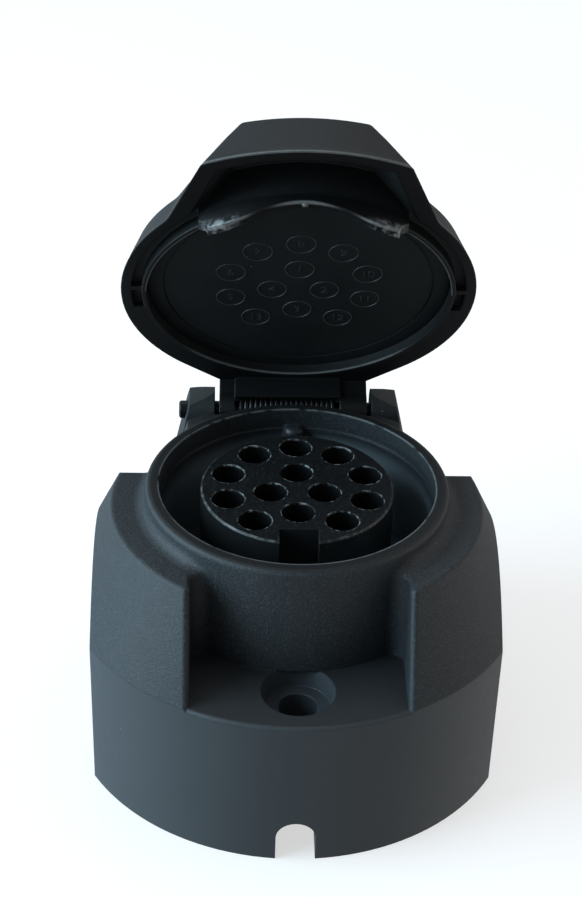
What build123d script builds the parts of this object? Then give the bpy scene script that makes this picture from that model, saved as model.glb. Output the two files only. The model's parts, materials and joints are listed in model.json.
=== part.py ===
from build123d import *
import os
from math import acos, atan2, cos, degrees, hypot, radians, sin, sqrt

# Thirteen-pin towing socket with a sprung lid, held here at its open angle.
# Millimetres. The origin is on the mounting plane, on the axis of the mouth. +Z points
# out of the mouth, -Y is the front (finger pocket, drain) and the hinge is at +Y.

# --- housing -----------------------------------------------------------------------
BASE_R = 42.2            # base band and front of the ledge
FLAT_X = 36.5            # flats on the two sides
BAND_H = 30.0            # top of the smooth base band, level of the screw ledges
SHOULDER_Z = 47.7
SHOULDER_R = 33.5
WALL = 3.0
MOUTH_R = 27.35          # outside of the mouth tube
MOUTH_Z = 51.5           # rim of the mouth
MOUTH_IN_R = 24.9        # lead-in of the mouth
BORE_R = 24.5
BORE_TOP = 47.5          # end of the lead-in
POCKET_X = 18.7          # half width of the front pocket
POCKET_FILLET = 2.2
WING_END_Y = 8.7         # rear walls of the two side wings
EDGE_R = 0.8             # rounding of the outer edges
RIM_FILLET = 1.1
FLOOR_Z = 30.0           # bottom of the gap that takes the plug's collar
PARTITION_Z = 24.0       # underside of the partition that carries the insert
SCREW_R = 32.33          # centres of the three mounting screws
SCREW_ANGLES = (270, 30, 150)
SCREW_HOLE_R = 3.4
POST_R = 7.2
COUNTERBORE_R = 6.43
COUNTERBORE_FOOT_R = 5.6
COUNTERBORE_DEPTH = 3.5
DRAIN_X = 3.5            # half width of the drain slot
DRAIN_TOP = 8.4
LUG_R = 2.15             # bayonet lugs inside the mouth
LUG_TOP = 48.2
LUG_FOOT = 40.0
LUG_ANGLES = (90, 210, 330)

# --- hinge -------------------------------------------------------------------------
HINGE_Y = 34.2
HINGE_Z = 45.5
EAR_IN_X = 15.3
EAR_OUT_X = 19.9         # at the top of the ears
EAR_TOP = 50.0
EAR_DROP = 1.4           # fall of the ears' tops towards their outer edges
EAR_FOOT_X = 24.5        # where the rear block meets the band
EAR_R = EAR_TOP - HINGE_Z
SLOT_R = 5.3             # room for the knuckles between the ears
SLOT_Y = HINGE_Y - SLOT_R
SLOT_FLOOR = HINGE_Z - SLOT_R
PIN_R = 1.75
PIN_LEFT = -22.3
PIN_RIGHT = 20.6
EAR_HOLE_R = 1.77
KNUCKLE_HOLE_R = 1.82
KNUCKLE_R = 4.3
KNUCKLES = ((-14.4, -11.4), (9.1, 14.4))
SPRING_X = (-10.9, 8.6)
SPRING_R = 3.7
SPRING_WALL = 1.0
LEG_R = 0.42             # legs of the spring, kept inside the coil's wall
BASE_LEG_FOOT = 41.8
LID_LEG = 3.4
GUARD_R = (4.1, 4.9)     # barrel on the lid that covers the spring
GUARD_EDGE_Z = 45.7
PLATE_Z = 49.4           # underside of the neck over the spring
OPEN_ANGLE = 61.74       # lid angle above closed, as modelled

# --- lid, dimensions as closed -----------------------------------------------------
LID_R = 32.3
LID_EDGE_Z = 50.0
LID_SHOULDER_Z = 56.0
LID_SHOULDER_R = 30.1
LID_TOP_Z = 59.0
LID_TOP_R = 25.5
HOOD_R = 41.8            # front of the finger hood
HOOD_X = 17.4
ROOT_ANGLE = -43.35      # where the hood's flanks meet the round lid
ROOT_FILLET = 8.0
HOOD_CORNER = 1.6
HOOD_WALL = 2.1
HOOD_TOP_R = 39.2
HOOD_TOP_X = 11.0
HOOD_CAVITY_TOP = 57.0
NECK_X = 14.4
NECK_TOP_X = 11.0
NECK_FLARE = 1.2         # the lid's edge runs straight into the neck, past the circle
NECK_EDGE_Y = 30.2       # behind this line the neck's underside is lifted
NECK_LIFT = 0.7
COVER_END_Y = -1.9       # the groove and ring wall run from here round the front
RING_IN_R = 27.7         # wall that closes round the rim of the mouth
RING_OUT_R = 28.55
RING_EDGE_Z = 49.0
SKIRT_IN_R = 30.4
GROOVE_Z = 51.4
NOSE_IN_R = 28.05
NOSE_OUT_R = 30.0
NOSE_X = 18.0
DISC_R = 27.5
DISC_Z = 52.04
DISC_T = 1.2

# --- contacts ----------------------------------------------------------------------
INSERT_R = 17.47
INSERT_Z = 50.4
FLANGE_R = 22.6
FLANGE_T = 3.0
HOLE_R = 3.0
OUTER_RING_R = 13.05
OUTER_ANGLES = (198, 162, 126, 90, 54, 18, 342, 306, 234)                # contacts 5 to 13
INNER_CENTRES = ((0.0, 4.63), (4.83, -1.72), (0.0, -8.07), (-4.83, -1.72))  # 1 to 4
COLLAR_R = 3.2
SLEEVE_R = 2.85
SLEEVE_TOP = 42.0
TAIL_R = 2.8
TAIL_Z = 9.0
PIN_BORE_R = 1.8
WIRE_HOLE_R = 1.6
GRUB_Z = 12.5            # screw that clamps the wire
GRUB_R = 1.5
KEYWAY_X = 3.45
KEYWAY_Y = -13.2
FIX_R = 20.3             # screws that clamp retainer and insert to the partition
FIX_ANGLES = (30, 150, 270)
FIX_SHANK_R = 1.38
FIX_HEAD_R = 2.6
FIX_HOLE_R = 1.6

# --- rear gasket -------------------------------------------------------------------
GASKET_Z = (0.4, 3.4)
GASKET_GAP = 0.3
ENTRY_R = 5.0            # cable entry
ENTRY_COLLAR_R = 8.0
ENTRY_COLLAR_Z = 7.0


def cyl(radius, z0, z1, x=0.0, y=0.0):
    return Pos(x, y, (z0 + z1) / 2) * Cylinder(radius, z1 - z0)


def tube(r_in, r_out, z0, z1):
    return cyl(r_out, z0, z1) - cyl(r_in, z0 - 1, z1 + 1)


def block(x0, x1, y0, y1, z0, z1):
    centre = Pos((x0 + x1) / 2, (y0 + y1) / 2, (z0 + z1) / 2)
    return centre * Box(x1 - x0, y1 - y0, z1 - z0)


def x_cyl(radius, x0, x1, y=HINGE_Y, z=HINGE_Z):
    return Pos((x0 + x1) / 2, y, z) * Rot(0, 90, 0) * Cylinder(radius, x1 - x0)


def polar(radius, angle):
    return radius * cos(radians(angle)), radius * sin(radians(angle))


def frustum(r0, r1, z0, z1):
    return Pos(0, 0, (z0 + z1) / 2) * Cone(r0, r1, z1 - z0)


def write(node, shape):
    shape.label = node
    export_step(shape, "parts/" + node + ".step")


# ---------------------------------------------------------------- housing
def upper_form(inset, z0, z1):
    """The tapered upper housing between two heights, drawn in by inset."""
    slope = (BASE_R - SHOULDER_R) / (SHOULDER_Z - BAND_H)
    r0 = BASE_R - inset - slope * (z0 - BAND_H)
    r1 = BASE_R - inset - slope * (z1 - BAND_H)
    side = FLAT_X - inset
    return frustum(r0, r1, z0, z1) & block(-side, side, -60, 60, z0, z1)


def rear_block(inset, z0, z1, y0, y1):
    """Wedge under the hinge: its flanks spread towards the base."""
    slope = (EAR_FOOT_X - EAR_OUT_X) / (EAR_TOP - BAND_H)
    low = EAR_FOOT_X - inset - slope * (z0 - BAND_H)
    high = EAR_FOOT_X - inset - slope * (z1 - BAND_H)
    section = Polygon((-low, z0), (low, z0), (high, z1), (-high, z1), align=None)
    return extrude(Plane.XZ.offset(-y1) * section, y1 - y0)


def ears():
    foot = Polygon(
        (HINGE_Y - EAR_R, HINGE_Z), (HINGE_Y - 9, BAND_H), (HINGE_Y + 4, BAND_H),
        (HINGE_Y + EAR_R, HINGE_Z), align=None,
    )
    side = foot + Pos(HINGE_Y, HINGE_Z) * Circle(EAR_R)
    lugs = extrude(Plane.YZ * side, 30, both=True)
    lugs &= rear_block(0, BAND_H, EAR_TOP, 20, 45)
    slope = EAR_DROP / (EAR_OUT_X - EAR_IN_X)
    reach = 30 - EAR_IN_X
    over = Polygon(
        (EAR_IN_X, EAR_TOP), (30, EAR_TOP - slope * reach), (30, EAR_TOP + 1),
        (EAR_IN_X, EAR_TOP + 1), align=None,
    )
    wedge = extrude(Plane.XZ.offset(-50) * over, 40)
    return lugs - wedge - mirror(wedge, Plane.YZ)


def wings(inset, z0, z1):
    """The two raised sides of the housing, with the finger pocket between them."""
    body = upper_form(inset, z0, z1)
    body &= block(-50, 50, -50, WING_END_Y - inset, z0, z1)
    return body - block(-POCKET_X - inset, POCKET_X + inset, -50, 0, z0, z1)


def rounded_wings():
    body = wings(0, BAND_H, SHOULDER_Z)
    top = body.edges().group_by(Axis.Z)[-1]
    corners = [
        e for e in body.edges()
        if abs(abs(e.center().X) - POCKET_X) < 0.1 and e.center().Y < -25
        and BAND_H + 1 < e.center().Z < SHOULDER_Z - 1
    ]
    return fillet(list(top) + corners, EDGE_R)


def make_housing():
    band = cyl(BASE_R, 0, BAND_H) & block(-FLAT_X, FLAT_X, -60, 60, 0, BAND_H)
    body = band + rounded_wings() + cyl(MOUTH_R, PARTITION_Z, MOUTH_Z)
    ledge = [
        e for e in body.edges().filter_by(GeomType.CIRCLE)
        if abs(e.center().Z - BAND_H) < 0.1 and e.center().Y < -BASE_R + 1
    ]
    body = fillet(ledge, EDGE_R)
    body += rear_block(0, BAND_H, SHOULDER_Z, 20, 50) & upper_form(0, BAND_H, SHOULDER_Z)
    body += ears()
    rim = body.edges().filter_by(GeomType.CIRCLE).group_by(Axis.Z)[-1]
    body = fillet(rim, RIM_FILLET)
    corner_y = -sqrt(MOUTH_R ** 2 - POCKET_X ** 2)
    corners = [
        e for e in body.edges().filter_by(Axis.Z)
        if abs(abs(e.center().X) - POCKET_X) < 0.1 and abs(e.center().Y - corner_y) < 0.1
    ]
    body = fillet(corners, POCKET_FILLET)

    inside = cyl(BASE_R - WALL, -1, BAND_H - WALL)
    inside &= block(WALL - FLAT_X, FLAT_X - WALL, -60, 60, -1, BAND_H - WALL)
    inside += wings(WALL, BAND_H - WALL, SHOULDER_Z - WALL)
    rear_in = rear_block(WALL, BAND_H - WALL, SLOT_FLOOR - WALL, 20, 50)
    inside += rear_in & upper_form(WALL, BAND_H - WALL, SLOT_FLOOR - WALL)
    inside -= cyl(MOUTH_R, PARTITION_Z, MOUTH_Z)
    for angle in SCREW_ANGLES:
        inside -= cyl(POST_R, -2, BAND_H, *polar(SCREW_R, angle))
    body -= inside

    body -= cyl(BORE_R, FLOOR_Z, BORE_TOP) + cyl(MOUTH_IN_R, BORE_TOP, MOUTH_Z + 1)
    body -= cyl(INSERT_R + 0.12, PARTITION_Z - 1, FLOOR_Z + 1)
    for angle in FIX_ANGLES:
        body -= cyl(FIX_SHANK_R + 0.02, PARTITION_Z - 1, FLOOR_Z - 1.0, *polar(FIX_R, angle))
    for angle in LUG_ANGLES:
        lug = cyl(LUG_R, LUG_FOOT, LUG_TOP)
        lug = fillet(lug.edges().group_by(Axis.Z)[-1], 1.2)
        body += Pos(*polar(BORE_R - 0.1, angle), 0) * lug
    for angle in SCREW_ANGLES:
        x, y = polar(SCREW_R, angle)
        body -= cyl(SCREW_HOLE_R, -1, BAND_H + 1, x, y)
        sink = frustum(COUNTERBORE_FOOT_R, COUNTERBORE_R, BAND_H - COUNTERBORE_DEPTH, BAND_H)
        body -= Pos(x, y, 0) * sink
    drain = block(-DRAIN_X, DRAIN_X, -50, -SCREW_R, -1, DRAIN_TOP - DRAIN_X)
    drain += Pos(0, -SCREW_R, DRAIN_TOP - DRAIN_X) * Rot(90, 0, 0) * Cylinder(
        DRAIN_X, 20, align=(Align.CENTER, Align.CENTER, Align.MIN))
    body -= drain

    slot = x_cyl(SLOT_R, -EAR_IN_X, EAR_IN_X)
    slot += block(-EAR_IN_X, EAR_IN_X, SLOT_Y, 60, HINGE_Z, 60)
    slot += block(-EAR_IN_X, EAR_IN_X, HINGE_Y, 60, SLOT_FLOOR, 60)
    body -= slot
    body -= x_cyl(EAR_HOLE_R, -30, 30)
    return body


# ---------------------------------------------------------------- lid
def outline(z, radius, front_r, front_x, neck):
    """Plan of the lid at one height: a disc with the finger hood in front, a neck behind."""
    front_y = -sqrt(front_r ** 2 - front_x ** 2)
    root = polar(radius, ROOT_ANGLE)
    neck_y = sqrt(radius ** 2 - neck ** 2) + NECK_FLARE
    reach = hypot(neck, neck_y)
    tangent = degrees(atan2(neck_y, neck) - acos(radius / reach))
    flare = polar(radius, tangent)
    with BuildSketch(Plane.XY.offset(z)) as plan:
        with BuildLine():
            ThreePointArc((-front_x, front_y), (0, -front_r), (front_x, front_y))
            Line((front_x, front_y), root)
            ThreePointArc(root, (radius, 0), flare)
            Polyline(flare, (neck, neck_y), (-neck, neck_y), (-flare[0], flare[1]))
            ThreePointArc((-flare[0], flare[1]), (-radius, 0), (-root[0], root[1]))
            Line((-root[0], root[1]), (-front_x, front_y))
        make_face()
        corners = plan.vertices().sort_by(Axis.Y)
        fillet(corners[:2], HOOD_CORNER)
        roots = plan.vertices().filter_by(lambda v: abs(v.Y - root[1]) < 0.01)
        fillet(roots, ROOT_FILLET)
    return plan.sketch


def hood_cavity():
    faces = []
    for z, front_r, front_x, root in (
        (LID_EDGE_Z - 1, HOOD_R - HOOD_WALL, HOOD_X - 1.7, (21.4, -21.3)),
        (HOOD_CAVITY_TOP, HOOD_TOP_R - 1.9, HOOD_TOP_X - 0.9, (13.5, -22.5)),
    ):
        y = -sqrt(front_r ** 2 - front_x ** 2)
        with BuildSketch(Plane.XY.offset(z)) as plan:
            with BuildLine():
                ThreePointArc((-front_x, y), (0, -front_r), (front_x, y))
                Polyline((front_x, y), root, (-root[0], root[1]), (-front_x, y))
            make_face()
        faces.append(plan.sketch)
    return loft(faces, ruled=True) - cyl(NOSE_OUT_R, 40, 70)


def nose():
    """Curved latch wall behind the hood: low in the middle, with a horn at each end."""
    with BuildSketch(Plane.XZ) as front:
        with BuildLine():
            ThreePointArc((-9.5, 46.95), (0, 48.7), (9.5, 46.95))
            ThreePointArc((9.5, 46.95), (13.4, 46.25), (16.3, 46.55))
            Polyline((16.3, 46.55), (16.6, 47.6), (NOSE_X, 48.7), (NOSE_X, 52),
                     (-NOSE_X, 52), (-NOSE_X, 48.7), (-16.6, 47.6), (-16.3, 46.55))
            ThreePointArc((-16.3, 46.55), (-13.4, 46.25), (-9.5, 46.95))
        make_face()
    wall = tube(NOSE_IN_R, NOSE_OUT_R, 45, 53) & extrude(front.sketch, 40)
    nub = Pos(0, -(NOSE_IN_R + NOSE_OUT_R) / 2, 48.7) * Sphere(0.6)
    return wall + nub


def neck():
    """Arm from the lid's cover to its knuckles, sloping down to a rounded tail."""
    side = Polygon(
        (20, LID_EDGE_Z), (20, 57.8), (27, 55.6), (34.5, 54.0), (37.8, 52.2),
        (37.8, LID_EDGE_Z), align=None,
    )
    return extrude(Plane.YZ * side, NECK_X, both=True)


def guard():
    """Part barrel round the spring, from the neck's underside to the front of the coil."""
    x0, x1 = KNUCKLES[0][1], KNUCKLES[1][0]
    barrel = x_cyl(GUARD_R[1], x0, x1)
    barrel += block(x0, x1, HINGE_Y - GUARD_R[1], HINGE_Y + 3.4, HINGE_Z, LID_EDGE_Z + 2)
    barrel &= block(x0, x1, HINGE_Y - 6, HINGE_Y + 3.4, GUARD_EDGE_Z, LID_EDGE_Z + 2)
    barrel -= block(x0, x1, HINGE_Y, HINGE_Y + 6, HINGE_Z - 6, PLATE_Z)
    return barrel - x_cyl(GUARD_R[0], x0 - 1, x1 + 1)


def make_lid():
    rise = (LID_SHOULDER_Z - LID_EDGE_Z) / (LID_TOP_Z - LID_EDGE_Z)
    mid_r = HOOD_R + (HOOD_TOP_R - HOOD_R) * rise
    mid_x = HOOD_X + (HOOD_TOP_X - HOOD_X) * rise
    low = outline(LID_EDGE_Z, LID_R, HOOD_R, HOOD_X, NECK_X)
    shoulder = outline(LID_SHOULDER_Z, LID_SHOULDER_R, mid_r, mid_x, NECK_X)
    top = outline(LID_TOP_Z, LID_TOP_R, HOOD_TOP_R, HOOD_TOP_X, NECK_TOP_X)
    body = loft([low, shoulder], ruled=True) + loft([shoulder, top], ruled=True)
    body += neck()
    lifted = LID_EDGE_Z + NECK_LIFT
    body -= block(-NECK_X - 1, NECK_X + 1, NECK_EDGE_Y, 60, LID_EDGE_Z - 1, lifted)
    body += guard()
    for x0, x1 in KNUCKLES:
        body += x_cyl(KNUCKLE_R, x0, x1)
        body += block(x0, x1, HINGE_Y - 4.0, HINGE_Y + 3.4, HINGE_Z, LID_EDGE_Z + 2)
    body -= cyl(RING_IN_R, 40, DISC_Z + DISC_T)
    body -= frustum(24.5, 19.0, DISC_Z + DISC_T, 57.2)
    groove = tube(RING_OUT_R, SKIRT_IN_R, LID_EDGE_Z - 1, GROOVE_Z)
    body -= groove & block(-40, 40, -40, COVER_END_Y, 40, 60)
    web_end = -0.9
    recess_end = 4.7
    for side in (-1, 1):
        x0, x1 = sorted((side * 20, side * 40))
        body -= groove & block(x0, x1, web_end, recess_end, 40, 60)
    body -= hood_cavity()
    ring = tube(RING_IN_R, RING_OUT_R, RING_EDGE_Z, LID_EDGE_Z + 2)
    body += ring & block(-40, 40, -40, COVER_END_Y, 40, 60)
    body += nose()
    body -= x_cyl(KNUCKLE_HOLE_R, -40, 40)
    return body


def make_lid_disc():
    disc = cyl(DISC_R, DISC_Z, DISC_Z + DISC_T - 0.05)
    step = tube(24.3, 24.7, DISC_Z - 1, DISC_Z + 0.25)
    return disc - step


def opened(shape):
    """Swings a part modelled closed to the open angle about the hinge."""
    hinge = Axis((0, HINGE_Y, HINGE_Z), (-1, 0, 0))
    return shape.rotate(hinge, OPEN_ANGLE)


def make_pin():
    pin = x_cyl(PIN_R, PIN_LEFT, PIN_RIGHT)
    return chamfer(pin.edges().filter_by(GeomType.CIRCLE), 0.3)


def make_spring():
    """Stand-in for the torsion spring: its coil as a tube, and a straight leg at each end."""
    x0, x1 = SPRING_X
    reach = SPRING_R - SPRING_WALL / 2
    inset = LEG_R + 0.2
    coil = x_cyl(SPRING_R, x0, x1) - x_cyl(SPRING_R - SPRING_WALL, x0 - 1, x1 + 1)
    base_leg = cyl(LEG_R, BASE_LEG_FOOT, HINGE_Z, x0 + inset, HINGE_Y - reach)
    lid_leg = Pos(x1 - inset, HINGE_Y + LID_LEG / 2, HINGE_Z + reach) * Rot(90, 0, 0)
    lid_leg *= Cylinder(LEG_R, LID_LEG)
    return coil + base_leg + opened(lid_leg)


# ---------------------------------------------------------------- contact block
def contact_centres():
    """Centres of contacts 1 to 13: four inside, then nine on the outer ring."""
    return list(INNER_CENTRES) + [polar(OUTER_RING_R, angle) for angle in OUTER_ANGLES]


def make_insert():
    under = PARTITION_Z - FLANGE_T
    body = cyl(INSERT_R, under, INSERT_Z)
    body = chamfer(body.edges().group_by(Axis.Z)[-1], 0.35)
    body += cyl(FLANGE_R, under, PARTITION_Z - 0.02)
    for x, y in contact_centres():
        body -= cyl(HOLE_R, under - 1, INSERT_Z + 1, x, y)
        body -= cyl(COLLAR_R + 0.06, under - 1, under + 3.05, x, y)
    body -= block(-KEYWAY_X, KEYWAY_X, -30, KEYWAY_Y, FLOOR_Z, INSERT_Z + 1)
    for angle in FIX_ANGLES:
        body -= cyl(FIX_HOLE_R, under - 1, PARTITION_Z + 1, *polar(FIX_R, angle))
    return body


def make_retainer():
    top = PARTITION_Z - FLANGE_T - 0.02
    body = cyl(FLANGE_R, top - 3.0, top)
    for x, y in contact_centres():
        body -= cyl(TAIL_R + 0.1, 0, top + 1, x, y)
    for angle in FIX_ANGLES:
        body -= cyl(FIX_HOLE_R, 0, top + 1, *polar(FIX_R, angle))
    return body


def facing_out(x, y):
    """Turn and place that brings +X at the origin to point outwards at a contact."""
    return Pos(x, y, 0) * Rot(0, 0, degrees(atan2(y, x)))


def make_contact(x, y):
    """Split sleeve at the front, clamping collar, and a terminal for the wire."""
    collar_z = PARTITION_Z - FLANGE_T
    body = cyl(SLEEVE_R, collar_z + 3.0, SLEEVE_TOP) + cyl(COLLAR_R, collar_z + 0.01, collar_z + 3.0)
    body += cyl(TAIL_R, TAIL_Z, collar_z + 0.01)
    body -= cyl(PIN_BORE_R, 30, SLEEVE_TOP + 1)
    body -= frustum(PIN_BORE_R, PIN_BORE_R + 0.6, SLEEVE_TOP - 0.6, SLEEVE_TOP)
    body -= block(-0.3, 0.3, -5, 5, 33, SLEEVE_TOP + 1)
    body -= cyl(WIRE_HOLE_R, 0, 16)
    screw_hole = Pos(2.5, 0, GRUB_Z) * Rot(0, 90, 0) * Cylinder(GRUB_R + 0.03, 5)
    return facing_out(x, y) * (body - screw_hole)


def make_terminal_screws():
    screws = []
    for x, y in contact_centres():
        screw = Pos(2.45, 0, GRUB_Z) * Rot(0, 90, 0) * Cylinder(GRUB_R, 2.6)
        screw -= block(3.15, 4, -0.3, 0.3, GRUB_Z - 2, GRUB_Z + 2)
        screws.append(facing_out(x, y) * screw)
    return Compound(children=screws)


def make_fixing_screws():
    seat = PARTITION_Z - FLANGE_T - 3.02
    screws = []
    for angle in FIX_ANGLES:
        shank = cyl(FIX_SHANK_R, seat - 1.0, FLOOR_Z - 1.5)
        head = cyl(FIX_HEAD_R, seat - 2.0, seat - 0.01)
        head = fillet(head.edges().group_by(Axis.Z)[0], 0.8)
        cross = block(-1.5, 1.5, -0.35, 0.35, seat - 3, seat - 1.0)
        cross += block(-0.35, 0.35, -1.5, 1.5, seat - 3, seat - 1.0)
        screws.append(Pos(*polar(FIX_R, angle), 0) * (shank + head - cross))
    return Compound(children=screws)


# ---------------------------------------------------------------- rear gasket
def make_gasket():
    z0, z1 = GASKET_Z
    gap = WALL + GASKET_GAP
    body = cyl(BASE_R - gap, z0, z1) & block(gap - FLAT_X, FLAT_X - gap, -60, 60, z0, z1)
    body += cyl(ENTRY_COLLAR_R, z1, ENTRY_COLLAR_Z)
    body -= cyl(ENTRY_R, -1, ENTRY_COLLAR_Z + 1)
    for angle in SCREW_ANGLES:
        body -= cyl(POST_R + GASKET_GAP, -1, 9, *polar(SCREW_R, angle))
    return body


write("housing", make_housing())
write("lid", opened(make_lid()))
write("lid_disc", opened(make_lid_disc()))
write("hinge_pin", make_pin())
write("lid_spring", make_spring())
write("contact_insert", make_insert())
write("contact_retainer", make_retainer())
for number, centre in enumerate(contact_centres(), start=1):
    write(f"contact_{number:02d}", make_contact(*centre))
write("terminal_screws", make_terminal_screws())
write("retainer_screws", make_fixing_screws())
write("rear_gasket", make_gasket())
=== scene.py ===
import json
from math import ceil, cos, pi, radians, sin, tau

import bpy
from mathutils import Matrix, Vector


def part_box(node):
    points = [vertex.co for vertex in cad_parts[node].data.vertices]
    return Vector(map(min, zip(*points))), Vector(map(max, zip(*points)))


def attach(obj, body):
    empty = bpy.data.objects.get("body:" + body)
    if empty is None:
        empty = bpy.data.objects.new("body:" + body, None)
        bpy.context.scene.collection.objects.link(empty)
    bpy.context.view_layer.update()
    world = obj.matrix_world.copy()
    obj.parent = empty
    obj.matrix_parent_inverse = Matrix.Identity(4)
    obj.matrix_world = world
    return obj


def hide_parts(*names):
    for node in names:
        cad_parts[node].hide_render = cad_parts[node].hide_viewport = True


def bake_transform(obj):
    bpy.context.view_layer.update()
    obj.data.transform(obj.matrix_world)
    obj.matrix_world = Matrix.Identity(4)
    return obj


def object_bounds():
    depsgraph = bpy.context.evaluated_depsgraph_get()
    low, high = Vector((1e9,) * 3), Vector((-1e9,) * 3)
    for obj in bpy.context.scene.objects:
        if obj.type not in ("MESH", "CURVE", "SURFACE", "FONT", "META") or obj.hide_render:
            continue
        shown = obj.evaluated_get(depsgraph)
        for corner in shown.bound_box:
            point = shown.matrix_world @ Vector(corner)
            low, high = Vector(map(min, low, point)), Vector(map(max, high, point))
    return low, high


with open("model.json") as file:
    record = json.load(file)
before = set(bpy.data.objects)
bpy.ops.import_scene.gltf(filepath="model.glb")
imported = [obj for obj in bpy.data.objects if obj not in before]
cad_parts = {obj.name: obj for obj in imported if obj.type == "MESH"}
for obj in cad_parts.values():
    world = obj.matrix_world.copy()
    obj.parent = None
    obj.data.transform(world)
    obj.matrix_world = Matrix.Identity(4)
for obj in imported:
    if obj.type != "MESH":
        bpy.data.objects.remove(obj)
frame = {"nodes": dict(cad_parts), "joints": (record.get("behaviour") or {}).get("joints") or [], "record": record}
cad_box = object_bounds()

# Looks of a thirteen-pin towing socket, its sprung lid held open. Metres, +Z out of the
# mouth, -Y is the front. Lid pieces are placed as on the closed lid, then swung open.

MM = 0.001

# --- places taken from the frame ----------------------------------------------------
hinge = frame["joints"][0]
HINGE = Vector(hinge["pos_m"])
OPEN_ANGLE = radians(-hinge["range_deg"][0])
SWING = (Matrix.Translation(HINGE) @ Matrix.Rotation(-OPEN_ANGLE, 4, "X")
         @ Matrix.Translation(-HINGE))
RIM_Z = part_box("housing")[1].z
INSERT_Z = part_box("contact_insert")[1].z
SPRING_LOW, SPRING_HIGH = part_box("lid_spring")

# --- sizes of the object's own features ---------------------------------------------
CREASE_Z = 30 * MM            # the grained upper housing starts here
BORE_R = 24.5 * MM
CARRIER_R = 17.47 * MM        # the contact insert
BASE_R = 42.2 * MM
POCKET_X = 18.7 * MM          # half width of the finger pocket
EAR_Y = 24.0 * MM             # the block under the hinge starts here
LID_EDGE_Z = 50.0 * MM        # heights and radii of the lid, lid closed
HOOD_R = 41.8 * MM
WALL_IN_R = 27.7 * MM         # wall that closes round the rim
WALL_EDGE_Z = 49.0 * MM
NOSE_IN_R = 28.0 * MM
NOSE_OUT_R = 30.0 * MM
NOSE_EDGE_Z = 46.25 * MM      # at the horns, where the nose reaches lowest
NOSE_RISE = 2.45 * MM         # from there up to the middle
HORN_X = 13.4 * MM
NOSE_FRONT_Y = -20.0 * MM
DISC_FACE_Z = 52.04 * MM      # face of the lid's disc, lid closed
HOLE_R = 3.0 * MM
HOLE_RING_R = 13.05 * MM
HOLE_ANGLES = (198, 162, 126, 90, 54, 18, 342, 306, 234)
INNER_HOLES = ((0, 4.63), (4.83, -1.72), (0, -8.07), (-4.83, -1.72))
LEGEND_RING_R = 13.0 * MM
LEGEND_INNER = ((0, 5.2), (4.8, -1.3), (0, -7.8), (-4.8, -1.3))
LEGEND_R = 2.75 * MM
LEGEND_LINE = 0.24 * MM
LEGEND_HEIGHT = 0.16 * MM
NUMBER_SIZE = 2.6 * MM
COIL_R = 3.25 * MM            # middle of the spring's wire
WIRE_R = 0.42 * MM
COIL_PITCH = 1.0 * MM
LID_LEG = 3.2 * MM
STEPS_PER_TURN = 28


# ---------------------------------------------------------------- shader arithmetic
class Wire:
    """One output socket of a node tree. Arithmetic on it adds the tree's Math nodes."""

    def __init__(self, tree, socket=None):
        self.tree = tree
        self.socket = socket

    def add(self, kind, settings=None, inputs=None, output=0):
        """Adds a node: settings first, then the values or wires of its inputs."""
        node = self.tree.nodes.new(kind)
        for name, value in (settings or {}).items():
            if name == "stops":
                self.set_stops(node.color_ramp, value)
            else:
                setattr(node, name, value)
        for name, value in (inputs or {}).items():
            if isinstance(value, Wire):
                self.tree.links.new(value.socket, node.inputs[name])
            else:
                node.inputs[name].default_value = value
        return Wire(self.tree, node.outputs[output] if len(node.outputs) else None)

    @staticmethod
    def set_stops(ramp, stops):
        while len(ramp.elements) < len(stops):
            ramp.elements.new(0.5)
        for element, (place, colour) in zip(ramp.elements, stops):
            element.position = place
            element.color = (*colour, 1)

    def math(self, operation, *values):
        return self.add("ShaderNodeMath", {"operation": operation}, dict(enumerate(values)))

    def __add__(self, other):
        return self.math("ADD", self, other)

    __radd__ = __add__

    def __sub__(self, other):
        return self.math("SUBTRACT", self, other)

    def __rsub__(self, other):
        return self.math("SUBTRACT", other, self)

    def __mul__(self, other):
        return self.math("MULTIPLY", self, other)

    __rmul__ = __mul__

    def __truediv__(self, other):
        return self.math("DIVIDE", self, other)

    def __pow__(self, other):
        return self.math("POWER", self, other)

    def absolute(self):
        return self.math("ABSOLUTE", self)

    def smallest(self, other):
        return self.math("MINIMUM", self, other)

    def near(self, value, width):
        """1 within a narrow band about a value, fading out over its width."""
        return (self - value).absolute().step(width, 0.3 * width)

    def cosine(self):
        return self.math("COSINE", self)

    def step(self, low, high):
        """0 below low, 1 above high, smooth between; low may be the larger one."""
        return self.add(
            "ShaderNodeMapRange",
            {"interpolation_type": "SMOOTHSTEP"},
            {"Value": self, "From Min": low, "From Max": high},
        )

    def axes(self):
        split = self.tree.nodes.new("ShaderNodeSeparateXYZ")
        self.tree.links.new(self.socket, split.inputs[0])
        return [Wire(self.tree, out) for out in split.outputs]

    def noise(self, scale, detail=3.0, roughness=0.55):
        return self.add("ShaderNodeTexNoise", None, {
            "Vector": self, "Scale": scale, "Detail": detail, "Roughness": roughness})

    def specks(self, spacing, size, share):
        """Rare round specks: 1 inside one, spaced out and of a size, on a share of cells."""
        cell = {"feature": "F1"}
        place = {"Vector": self, "Scale": 1 / spacing}
        near = self.add("ShaderNodeTexVoronoi", cell, place, "Distance")
        pick = self.add("ShaderNodeTexVoronoi", cell, place, "Color").axes()[0]
        inside = near.step(size / spacing, 0.5 * size / spacing)
        return inside * pick.step(1 - share, 1 - share + 0.001)

    def mix(self, low, high):
        """A colour between two, by this wire's value."""
        settings = {"data_type": "RGBA", "clamp_factor": True}
        return self.add("ShaderNodeMix", settings, {
            0: self, 6: self.colour(low), 7: self.colour(high)}, 2)

    @staticmethod
    def colour(value):
        return value if isinstance(value, Wire) else (*value, 1)


def length(x, y):
    return (x * x + y * y) ** 0.5


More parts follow.
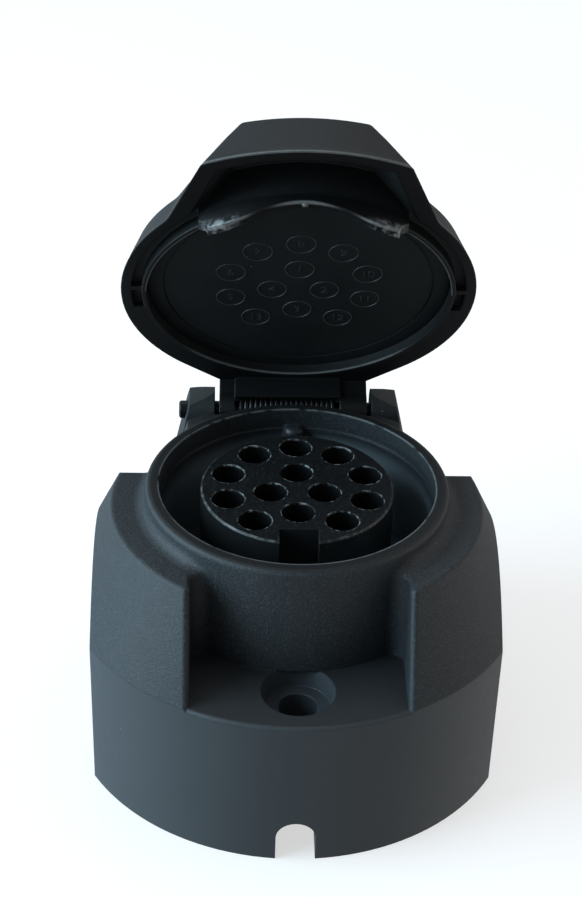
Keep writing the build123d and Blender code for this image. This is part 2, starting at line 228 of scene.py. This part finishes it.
class Finish:
    """A material in the making: its tree, its place wires and its Principled shader."""

    def __init__(self, name):
        self.material = bpy.data.materials.new(name)
        self.material.use_nodes = True
        tree = self.material.node_tree
        tree.nodes.clear()
        self.tree = Wire(tree)
        self.place = self.tree.add("ShaderNodeTexCoord", None, None, "Object")
        self.x, self.y, self.z = self.place.axes()

    def closed_place(self):
        """The place of a point of the open lid, as on the closed lid."""
        back = SWING.inverted()
        return self.tree.add("ShaderNodeMapping", {"vector_type": "POINT"}, {
            "Vector": self.place, "Rotation": (OPEN_ANGLE, 0, 0),
            "Location": tuple(back.translation)})

    def rounded(self, radius):
        """Normal with the sharp edges softened."""
        return self.tree.add("ShaderNodeBevel", {"samples": 6}, {"Radius": radius})

    def bump(self, height, distance, strength, under):
        return self.tree.add("ShaderNodeBump", None, {
            "Height": height, "Distance": distance, "Strength": strength, "Normal": under})

    def shade(self, colour, roughness, normal, **constants):
        inputs = {"Base Color": Wire.colour(colour), "Roughness": roughness}
        if normal is not None:
            inputs["Normal"] = normal
        for name, value in constants.items():
            inputs[name.replace("_", " ")] = value
        shader = self.tree.add("ShaderNodeBsdfPrincipled", None, inputs)
        self.tree.add("ShaderNodeOutputMaterial", None, {"Surface": shader})
        return self.material


# ---------------------------------------------------------------- finishes
def hole_rims(finish):
    """Distance from the edge of the nearest contact hole of the insert's face."""
    ring = [(HOLE_RING_R * cos(radians(a)), HOLE_RING_R * sin(radians(a))) for a in HOLE_ANGLES]
    nearest = None
    for x, y in ring + [(px * MM, py * MM) for px, py in INNER_HOLES]:
        away = (length(finish.x - x, finish.y - y) - HOLE_R).absolute()
        nearest = away if nearest is None else nearest.smallest(away)
    return nearest


def housing_plastic():
    """Black glass-filled moulding: coarse spark grain above the crease, satin below it."""
    finish = Finish("housing_moulding")
    upper = finish.z.step(CREASE_Z - 0.3 * MM, CREASE_Z + 0.3 * MM)
    away = length(finish.x, finish.y)
    inside = away.step(BORE_R + 0.9 * MM, BORE_R + 0.1 * MM) * upper
    top = finish.z.step(RIM_Z - 0.5 * MM, RIM_Z - 0.05 * MM)
    cloud = finish.place.noise(55, 4)
    grain = finish.place.noise(4200, 2, 0.6)
    pits = finish.place.noise(1500, 2)
    drag_and_sheen = finish.place.noise(420, 4)
    band = cloud.mix((0.031, 0.038, 0.043), (0.041, 0.049, 0.055))
    coarse = cloud.mix((0.0125, 0.0160, 0.0185), (0.0175, 0.0220, 0.0250))
    skin = upper.mix(band, coarse)
    skin = (upper * grain.step(0.50, 0.66)).mix(skin, (0.046, 0.055, 0.062))
    # painted shade: the upper housing behind the hinge block darkened, where the open lid hangs over it
    skin = (upper * finish.y.step(EAR_Y, EAR_Y + 3 * MM) * 0.75).mix(skin, (0.006, 0.007, 0.0075))
    # painted shade: the top of the mouth rim darkened to near-black
    skin = (top * 0.95).mix(skin, (0.0035, 0.0042, 0.0047))
    # painted shade: the pocket ledge darkened along the crease, under the wings and the tube
    ledge_shade = finish.z.near(CREASE_Z, 0.3 * MM) * finish.x.absolute().step(
        POCKET_X + 0.2 * MM, POCKET_X - 0.2 * MM)
    skin = (ledge_shade * away.step(BASE_R - 0.3 * MM, BASE_R - 0.7 * MM) * 0.55).mix(skin, (0.006, 0.007, 0.0075))
    # painted highlight: a thin pale line round the inner edge of the rim, broken up by noise
    line = away.near(BORE_R + 0.45 * MM, 0.28 * MM) * top * drag_and_sheen.step(0.30, 0.48)
    skin = (line * 0.8).mix(skin, (0.16, 0.17, 0.175))
    # painted shade and light in the mouth: the bore wall a little darker, and painted pale bluish light lower down
    deep_bore_light = inside * finish.z.step(RIM_Z - 4.2 * MM, RIM_Z - 9.0 * MM)
    skin = (inside * 0.35).mix(skin, (0.011, 0.0125, 0.0135))
    skin = (deep_bore_light * 0.9).mix(skin, (0.20, 0.245, 0.270))
    skin = finish.place.specks(6 * MM, 0.13 * MM, 0.16).mix(skin, (0.32, 0.33, 0.33))
    rough = 0.46 + upper * 0.12 - inside * 0.16 + (drag_and_sheen - 0.5) * 0.12 + (grain - 0.5) * 0.3
    depth = grain * (0.15 + upper * 0.85) + pits * 0.5 * upper
    normal = finish.bump(depth * (1 - inside * 0.7), 0.11 * MM, 0.7, finish.rounded(0.35 * MM))
    return finish.shade(skin, rough, normal, Specular_IOR_Level=0.40)


def lid_plastic():
    """Lid moulding, with painted highlights along the edges of the wall, the latch nose, the hood and the horns.
    """
    finish = Finish("lid_moulding")
    closed = finish.closed_place()
    x, y, z = closed.axes()
    away = length(x, y)
    cloud = finish.place.noise(60, 4)
    grain = finish.place.noise(4200, 2, 0.6)
    scuff_and_sheen = finish.place.noise(700, 4, 0.65)
    outer = z.step(LID_EDGE_Z + 0.2 * MM, LID_EDGE_Z + 2.0 * MM) * away.step(24 * MM, 29 * MM)
    under = z.step(LID_EDGE_Z + 0.4 * MM, LID_EDGE_Z + 0.1 * MM) * away.step(28 * MM, 29 * MM)
    skin = cloud.mix((0.0085, 0.0098, 0.0106), (0.0125, 0.0142, 0.0152))
    skin = (outer * grain.step(0.50, 0.66) * 0.7).mix(skin, (0.021, 0.0212, 0.0205))
    # painted shade: the underside of the lid's edge darkened, in the shade of the hood
    skin = (under * 0.8).mix(skin, (0.0025, 0.0028, 0.003))
    front = y.step(NOSE_FRONT_Y, NOSE_FRONT_Y - 2 * MM)
    edge_z = NOSE_EDGE_Z + (1 + (x * (pi / HORN_X)).cosine()) * (NOSE_RISE / 2)
    on_nose = away.step(NOSE_IN_R - 0.1 * MM, NOSE_IN_R) * front
    on_nose *= away.step(NOSE_OUT_R + 0.2 * MM, NOSE_OUT_R + 0.1 * MM)
    # painted highlight: a pale line along the top edge of the latch nose, broken up by noise
    nose_highlight = on_nose * (z - edge_z).step(0.42 * MM, 0.05 * MM) * away.near(
        NOSE_OUT_R - 0.2 * MM, 0.7 * MM)
    # painted highlight: pale patches on the horn tips, broken up by noise
    horns = on_nose * x.absolute().step(10 * MM, 14 * MM) * (z - edge_z).step(1.9 * MM, 0.3 * MM)
    skin = (nose_highlight * (0.35 + scuff_and_sheen * 0.6)).mix(skin, (0.24, 0.25, 0.25))
    skin = (horns * scuff_and_sheen.step(0.40, 0.64) * 0.6).mix(skin, (0.42, 0.425, 0.42))
    # painted highlight: a thin pale line on the edge of the wall round the rim
    wall_highlight = away.near(WALL_IN_R + 0.05 * MM, 0.22 * MM) * (1 - front)
    wall_highlight *= z.step(WALL_EDGE_Z + 0.4 * MM, WALL_EDGE_Z + 0.1 * MM)
    skin = (wall_highlight * (0.3 + scuff_and_sheen * 0.6)).mix(skin, (0.16, 0.17, 0.175))
    # painted highlights: thin pale lines on the lid's rear lower rim and on the hood's near edge
    rear_highlight = away.near(WALL_IN_R + 0.1 * MM, 0.25 * MM) * y.step(17 * MM, 22 * MM)
    rear_highlight *= z.step(LID_EDGE_Z + 0.5 * MM, LID_EDGE_Z + 0.1 * MM)
    hood_highlight = away.near(HOOD_R - 0.15 * MM, 0.28 * MM) * front
    hood_highlight *= z.step(LID_EDGE_Z + 0.6 * MM, LID_EDGE_Z + 0.1 * MM)
    skin = ((rear_highlight + hood_highlight) * (0.3 + scuff_and_sheen * 0.6)).mix(skin, (0.20, 0.205, 0.205))
    skin = finish.place.specks(7 * MM, 0.13 * MM, 0.14).mix(skin, (0.30, 0.31, 0.31))
    rough = 0.44 + outer * 0.14 + (scuff_and_sheen - 0.5) * 0.12 + (grain - 0.5) * outer * 0.3
    normal = finish.bump(grain * (0.25 + outer * 0.75), 0.07 * MM, 0.5,
                         finish.rounded(0.35 * MM))
    return finish.shade(skin, rough, normal, Specular_IOR_Level=0.34)


def disc_rubber():
    """Satin sealing disc, faintly clouded by its moulding, with painted shade towards its rim."""
    finish = Finish("disc_satin")
    closed = finish.closed_place()
    x, y, _ = closed.axes()
    away = length(x, y)
    flow = closed.noise(75, 5, 0.6)
    fine = closed.noise(4200, 3, 0.6)
    skin = flow.mix((0.0105, 0.0122, 0.0126), (0.0160, 0.0180, 0.0186))
    # painted shade: the disc darkened towards its rim, by the wall round it
    skin = (away.step(22 * MM, 26.5 * MM) * 0.5).mix(skin, (0.0060, 0.0070, 0.0074))
    skin = closed.specks(8 * MM, 0.14 * MM, 0.18).mix(skin, (0.26, 0.27, 0.27))
    rough = 0.50 + (flow - 0.5) * 0.22
    normal = finish.bump(fine + flow * 0.6, 0.04 * MM, 0.3, finish.rounded(0.2 * MM))
    return finish.shade(skin, rough, normal, Specular_IOR_Level=0.30)


def legend_rubber():
    """The disc's raised rings and numbers: same stock, crowns rubbed smoother."""
    finish = Finish("legend_satin")
    fine = finish.place.noise(2600, 3)
    skin = fine.mix((0.015, 0.018, 0.019), (0.028, 0.032, 0.033))
    normal = finish.bump(fine, 0.03 * MM, 0.25, finish.rounded(0.05 * MM))
    return finish.shade(skin, 0.42 + fine * 0.12, normal, Specular_IOR_Level=0.45)


def insert_plastic():
    """Contact carrier: fine satin black, with pale moulding flash round its holes."""
    finish = Finish("carrier_moulding")
    face = finish.z.step(INSERT_Z - 0.5 * MM, INSERT_Z - 0.1 * MM)
    grain = finish.place.noise(3800, 3, 0.6)
    break_up = finish.place.noise(900, 3, 0.6)
    cloud = finish.place.noise(90, 3)
    skin = cloud.mix((0.0085, 0.0100, 0.0108), (0.0125, 0.0142, 0.0150))
    # painted shade: the insert's top face darkened, deep in the mouth
    skin = (face * 0.75).mix(skin, (0.0048, 0.0053, 0.0056))
    skin = (face * grain.step(0.56, 0.64) * 0.8).mix(skin, (0.038, 0.041, 0.042))
    rims = hole_rims(finish)
    # painted shade: the walls inside the contact holes darkened to near-black
    hole_wall_shade = rims.step(0.12 * MM, 0.06 * MM) * (1 - face)
    skin = (hole_wall_shade * 0.85).mix(skin, (0.0025, 0.0028, 0.003))
    outline = length(finish.x, finish.y).near(CARRIER_R - 0.2 * MM, 0.3 * MM)
    flash = (rims.step(0.24 * MM, 0.04 * MM) + outline * 0.35) * face * break_up.step(0.46, 0.62)
    skin = (flash * 0.85).mix(skin, (0.24, 0.26, 0.265))
    skin = finish.place.specks(5 * MM, 0.12 * MM, 0.2).mix(skin, (0.28, 0.29, 0.29))
    normal = finish.bump(grain, 0.04 * MM, 0.4, finish.rounded(0.2 * MM))
    return finish.shade(skin, 0.42 + (cloud - 0.5) * 0.16, normal, Specular_IOR_Level=0.34)


def gasket_rubber():
    """Dull rear gasket, slightly bloomed."""
    finish = Finish("gasket_bloom")
    bloom = finish.place.noise(140, 5, 0.6)
    fine = finish.place.noise(2400, 3)
    skin = bloom.step(0.4, 0.7).mix((0.016, 0.016, 0.017), (0.034, 0.034, 0.034))
    normal = finish.bump(fine, 0.06 * MM, 0.5, finish.rounded(0.25 * MM))
    return finish.shade(skin, 0.72 + (bloom - 0.5) * 0.2, normal, Specular_IOR_Level=0.3)


def metal(name, dark, light, roughness, marks):
    """Plated or drawn metal: turning marks along Z or X, and a patchy tarnish."""
    finish = Finish(name)
    stretched = finish.tree.add("ShaderNodeMapping", None, {
        "Vector": finish.place, "Scale": marks})
    lines = stretched.noise(900, 3, 0.6)
    patches = finish.place.noise(260, 4)
    skin = patches.mix(dark, light)
    rough = roughness + (patches - 0.5) * 0.2 + (lines - 0.5) * 0.12
    normal = finish.bump(lines, 0.02 * MM, 0.35, finish.rounded(0.08 * MM))
    return finish.shade(skin, rough, normal, Metallic=1.0)


ACROSS = (12.0, 1.0, 1.0)
ALONG_Z = (1.0, 1.0, 12.0)
finishes = {
    "housing_plastic": housing_plastic(),
    "lid_plastic": lid_plastic(),
    "disc_rubber": disc_rubber(),
    "insert_plastic": insert_plastic(),
    "gasket_rubber": gasket_rubber(),
    "contact_brass": metal("contact_turned", (0.42, 0.29, 0.13), (0.62, 0.46, 0.22), 0.32, ALONG_Z),
    "pin_steel": metal("pin_blackened", (0.020, 0.021, 0.022), (0.05, 0.051, 0.053), 0.42, ACROSS),
    "spring_steel": metal("spring_drawn", (0.02, 0.02, 0.022), (0.05, 0.05, 0.053), 0.42, ACROSS),
    "screw_steel": metal("screw_zinc", (0.42, 0.43, 0.45), (0.58, 0.59, 0.60), 0.30, ALONG_Z),
}
slot_of = {row["node"]: row["material_slot"] for row in frame["record"]["subparts"]}
for node, piece in frame["nodes"].items():
    for material_slot in piece.material_slots:
        material_slot.material = finishes[slot_of[node]]


# ---------------------------------------------------------------- modelling by hand
def clear_selection():
    if bpy.context.mode != "OBJECT":
        bpy.ops.object.mode_set(mode="OBJECT")
    bpy.ops.object.select_all(action="DESELECT")


def grown(vector, value):
    """Extrudes what is selected by a vector, then scales the new loop about the centre."""
    bpy.ops.mesh.extrude_region_move(TRANSFORM_OT_translate={"value": vector})
    bpy.ops.transform.resize(value=(value, value, 1), center_override=(0, 0, 0))


def settle(piece, name, matrix):
    """Puts a piece in its place, with the place in its mesh, and cleans its normals."""
    piece.name = name
    piece.data.name = name
    piece.matrix_world = matrix
    bpy.ops.object.transform_apply(location=True, rotation=True, scale=True)
    bpy.ops.object.mode_set(mode="EDIT")
    bpy.ops.mesh.select_all(action="SELECT")
    bpy.ops.mesh.remove_doubles(threshold=1e-6)
    bpy.ops.mesh.normals_make_consistent(inside=False)
    bpy.ops.object.mode_set(mode="OBJECT")
    return piece


def dress(piece, material):
    piece.data.materials.clear()
    piece.data.materials.append(material)
    return piece


def on_disc(u, v):
    """Place of a legend mark: u to the right, v to the free end, read from below."""
    return (SWING @ Matrix.Translation((u, -v, DISC_FACE_Z))
            @ Matrix.Rotation(pi, 4, "X"))


def legend_places():
    """Legend centres of contacts 1 to 13, four inside and nine round them."""
    inner = [(u * MM, v * MM) for u, v in LEGEND_INNER]
    angles = [radians(a) for a in HOLE_ANGLES]
    return inner + [(LEGEND_RING_R * cos(a), LEGEND_RING_R * sin(a)) for a in angles]


def legend_ring(number, place, material):
    """A raised line with a crowned top, its foot just inside the disc."""
    clear_selection()
    foot = 0.03 * MM
    slope = 0.05 * MM
    top = LEGEND_HEIGHT + foot
    inner_r = LEGEND_R - LEGEND_LINE
    bpy.ops.mesh.primitive_circle_add(
        vertices=56, radius=LEGEND_R, fill_type="NOTHING", location=(0, 0, 0))
    piece = bpy.context.object
    bpy.ops.object.mode_set(mode="EDIT")
    bpy.ops.mesh.select_all(action="SELECT")
    bpy.ops.transform.translate(value=(0, 0, -foot))
    grown((0, 0, top * 0.75), (LEGEND_R - slope * 0.4) / LEGEND_R)
    grown((0, 0, top * 0.25), (LEGEND_R - slope * 1.6) / (LEGEND_R - slope * 0.4))
    grown((0, 0, 0), (inner_r + slope * 1.6) / (LEGEND_R - slope * 1.6))
    grown((0, 0, -top * 0.25), (inner_r + slope * 0.4) / (inner_r + slope * 1.6))
    grown((0, 0, -top * 0.75), inner_r / (inner_r + slope * 0.4))
    bpy.ops.object.mode_set(mode="OBJECT")
    bpy.ops.object.mode_set(mode="EDIT")
    bpy.ops.mesh.select_all(action="DESELECT")
    bpy.ops.mesh.select_non_manifold()
    bpy.ops.mesh.bridge_edge_loops()
    bpy.ops.object.mode_set(mode="OBJECT")
    settle(piece, f"legend_ring_{number:02d}", on_disc(*place))
    bpy.ops.object.shade_smooth_by_angle(angle=radians(50))
    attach(dress(piece, material), "lid")


def legend_number(number, place, material):
    """The contact's number, raised inside its ring."""
    clear_selection()
    bpy.ops.object.text_add(location=(0, 0, 0))
    text = bpy.context.object
    text.data.body = str(number)
    text.data.align_x = "CENTER"
    text.data.align_y = "CENTER"
    text.data.size = NUMBER_SIZE
    text.data.extrude = LEGEND_HEIGHT * 0.8
    text.data.bevel_depth = 0.02 * MM
    text.data.bevel_resolution = 1
    bpy.ops.object.convert(target="MESH")
    piece = bpy.context.object
    settle(piece, f"legend_number_{number:02d}", on_disc(*place))
    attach(dress(piece, material), "lid")


def spring_route():
    """Points along the wire: base leg, turns round the hinge pin, then the lid's leg."""
    start_x = SPRING_LOW.x + 0.6 * MM
    end_x = SPRING_HIGH.x - 0.6 * MM
    turns = round((end_x - start_x) / COIL_PITCH)
    low = Vector((start_x, HINGE.y - COIL_R, SPRING_LOW.z))
    points = [low, low.lerp(Vector((start_x, HINGE.y - COIL_R, HINGE.z)), 0.55)]
    total = turns * tau + pi / 2 + OPEN_ANGLE
    steps = ceil(total / tau * STEPS_PER_TURN)
    for step in range(steps + 1):
        angle = pi - total * step / steps
        x = start_x + (end_x - start_x) * step / steps
        points.append(Vector((
            x, HINGE.y + COIL_R * cos(angle), HINGE.z + COIL_R * sin(angle))))
    leg = SWING.to_3x3() @ Vector((0, 1, 0))
    points.append(points[-1] + leg * LID_LEG / 2)
    points.append(points[-1] + leg * LID_LEG / 2)
    return points


def closing_spring():
    """Torsion spring of round wire in place of the plain coil."""
    clear_selection()
    route = spring_route()
    wire = bpy.data.curves.new("closing_spring", "CURVE")
    wire.dimensions = "3D"
    wire.bevel_depth = WIRE_R
    wire.bevel_resolution = 3
    wire.use_fill_caps = True
    spline = wire.splines.new("POLY")
    spline.points.add(len(route) - 1)
    for point, place in zip(spline.points, route):
        point.co = (*place, 1)
    piece = bpy.data.objects.new("closing_spring", wire)
    bpy.context.scene.collection.objects.link(piece)
    bpy.context.view_layer.objects.active = piece
    piece.select_set(True)
    bpy.ops.object.convert(target="MESH")
    piece = bpy.context.object
    settle(piece, "closing_spring", Matrix.Identity(4))
    bpy.ops.object.shade_smooth_by_angle(angle=radians(50))
    dress(piece, finishes["spring_steel"])
    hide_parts("lid_spring")
    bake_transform(piece)


legend_material = legend_rubber()
for contact, centre in enumerate(legend_places(), start=1):
    legend_ring(contact, centre, legend_material)
    legend_number(contact, centre, legend_material)
closing_spring()


# ---------------------------------------------------------------- floor, light, camera
def floor():
    """Pale sweep: a round floor that curves up into a low wall far from the socket."""
    clear_selection()
    bpy.ops.mesh.primitive_circle_add(vertices=96, radius=2.0, fill_type="NGON")
    sweep = bpy.context.object
    sweep.name = "floor_sweep"
    bpy.ops.object.mode_set(mode="EDIT")
    bpy.ops.mesh.select_all(action="DESELECT")
    bpy.ops.mesh.select_mode(type="EDGE")
    bpy.ops.mesh.select_all(action="SELECT")
    bpy.ops.mesh.region_to_loop()
    for part in range(1, 9):
        rise = 1 - cos(part * pi / 16)
        before = 1 - cos((part - 1) * pi / 16)
        out = sin(part * pi / 16)
        wider = (2.0 + out) / (2.0 + sin((part - 1) * pi / 16))
        grown((0, 0, rise - before), wider)
    bpy.ops.mesh.extrude_region_move(TRANSFORM_OT_translate={"value": (0, 0, 3)})
    bpy.ops.mesh.select_all(action="SELECT")
    bpy.ops.mesh.normals_make_consistent(inside=True)
    bpy.ops.object.mode_set(mode="OBJECT")
    sweep.location.z = cad_box[0].z - 0.05 * MM
    bpy.ops.object.transform_apply(location=True)
    bpy.ops.object.shade_smooth_by_angle(angle=radians(60))
    sweep.visible_diffuse = False
    sweep.visible_glossy = False
    finish = Finish("floor_paper")
    fibre = finish.place.noise(300, 3)
    paper = fibre.mix((0.44, 0.44, 0.44), (0.46, 0.46, 0.46))
    glow = {"Emission Color": (1, 1, 1, 1), "Emission Strength": 0.62}
    sweep.data.materials.append(finish.shade(paper, 0.9, None, Specular_IOR_Level=0.0, **glow))


def room_light():
    """Daylight room: cool window on the left, dim ceiling, and a pale table underneath."""
    world = bpy.data.worlds.new("room")
    bpy.context.scene.world = world
    world.use_nodes = True
    world.node_tree.nodes.clear()
    tree = Wire(world.node_tree)
    direction = tree.add("ShaderNodeTexCoord", None, None, "Generated")
    x, y, z = direction.axes()
    colour = tree.add("ShaderNodeValToRGB", {"stops": (
        (0.0, (0.60, 0.84, 1.0)), (0.45, (0.90, 0.96, 1.0)), (1.0, (1.0, 0.995, 0.985)))},
        {0: x * 0.5 + 0.5})
    below = z.step(0.15, -0.35)
    window = x.step(-0.25, -0.95) * 1.15
    right = x.step(0.45, 1.0) * (0.10 + below * 0.75)
    table = below * y.step(0.2, -0.9) * 0.42
    overhead = z.step(0.2, 1.0) * 0.10
    behind = y.step(0.0, 1.0) * 0.30
    strength = 0.15 + window + right + table + overhead + behind
    light = tree.add("ShaderNodeBackground", None, {"Color": colour, "Strength": strength})
    tree.add("ShaderNodeOutputWorld", None, {"Surface": light})


def lamp(name, place, size, watts, colour):
    """A square soft box aimed at the middle of the socket."""
    clear_selection()
    bpy.ops.object.light_add(type="AREA", location=place)
    light = bpy.context.object
    light.name = name
    light.data.size = size
    light.data.energy = watts
    light.data.color = colour
    aim = Vector((0, 0, 0.05)) - Vector(place)
    light.rotation_euler = aim.to_track_quat("-Z", "Y").to_euler()


def camera():
    """Eye level well above the rim, a little to the left, as one looks into the mouth."""
    elevation, azimuth, roll = radians(32.76), radians(-2.19), radians(1.81)
    target, distance = Vector((-1.35, 0, 58.6)) * MM, 325.47 * MM
    right = Vector((1, 0, 0))
    up = Vector((0, sin(elevation), cos(elevation)))
    back = Vector((0, -cos(elevation), sin(elevation)))
    tilted_right = right * cos(roll) + up * sin(roll)
    tilted_up = up * cos(roll) - right * sin(roll)
    turn = Matrix.Rotation(azimuth, 3, "Z")
    axes = Matrix([turn @ tilted_right, turn @ tilted_up, turn @ back]).transposed()
    clear_selection()
    bpy.ops.object.camera_add()
    eye = bpy.context.object
    eye.data.sensor_width = 36
    eye.data.lens = 73.50
    eye.data.clip_start = 0.01
    eye.matrix_world = Matrix.Translation(target + turn @ back * distance) @ axes.to_4x4()
    bpy.context.scene.camera = eye


floor()
room_light()
lamp("window_box", (-0.75, -0.15, 0.40), 0.6, 10.4, (0.62, 0.85, 1.0))
lamp("top_box", (0.05, 0.25, 0.95), 0.7, 2.0, (1.0, 0.99, 0.98))
lamp("right_box", (0.75, 0.05, 0.35), 0.5, 0.9, (1.0, 0.99, 0.97))
camera()
bpy.context.scene.view_settings.view_transform = "Standard"
